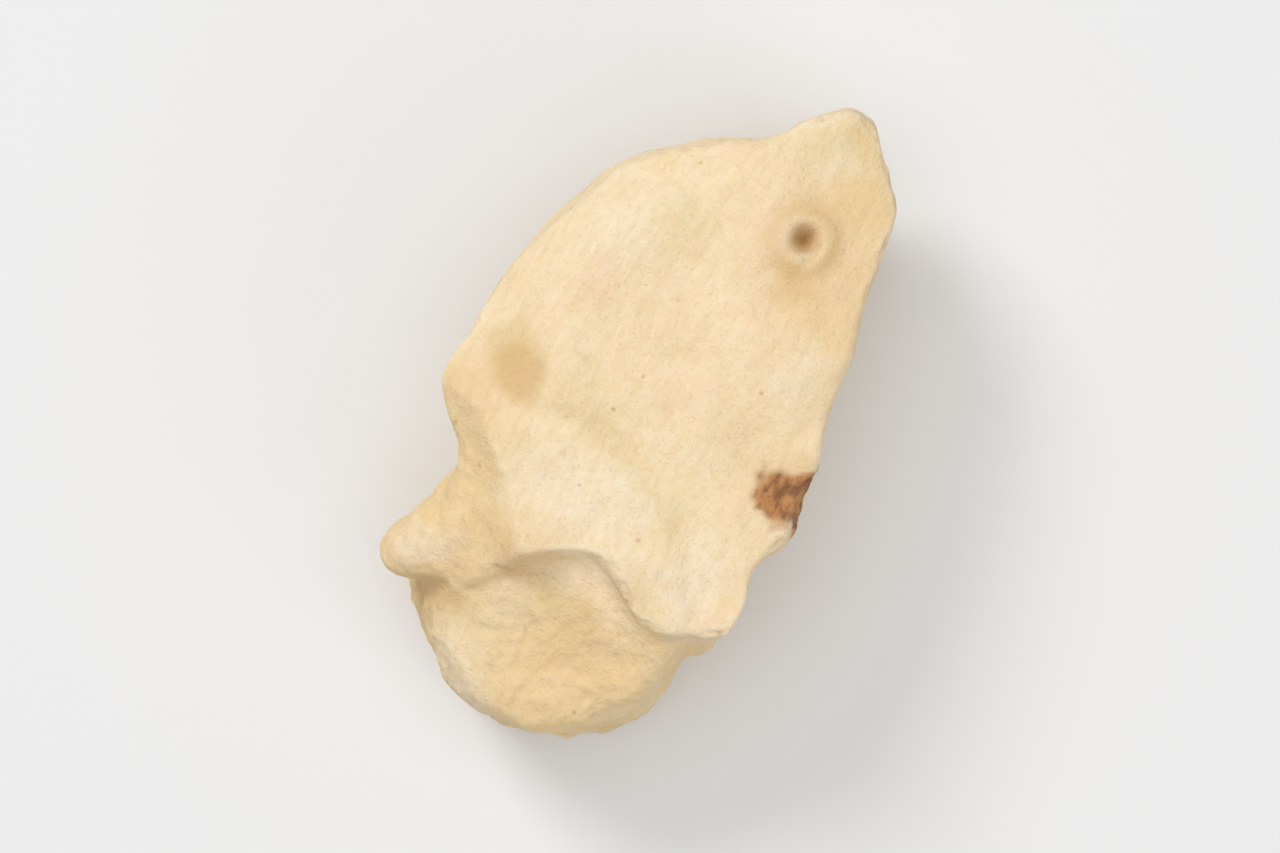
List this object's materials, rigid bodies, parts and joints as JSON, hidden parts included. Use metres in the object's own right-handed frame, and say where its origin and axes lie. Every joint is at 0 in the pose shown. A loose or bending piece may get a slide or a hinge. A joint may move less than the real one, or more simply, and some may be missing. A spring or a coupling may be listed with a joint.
{
  "type": "cut piece of dried orris root",
  "caption": "Small irregular chip of peeled, dried iris rhizome with a flat skin side, a pointed end and a broken step above a rounded lobe at the other end.",
  "frame": {"origin": "middle of the chip's box, on the level cut face that it rests on", "axes": "+Y along the chip towards its pointed end, +Z up from the face it rests on towards the skin side, +X to the right seen from above with +Y up"},
  "size_m": [0.0072, 0.0135, 0.0054],
  "materials": {
    "dried_root": "matte, chalky"
  },
  "bodies": {
    "root": {"orris_root_chip": "dried_root"}
  },
  "joints": []
}
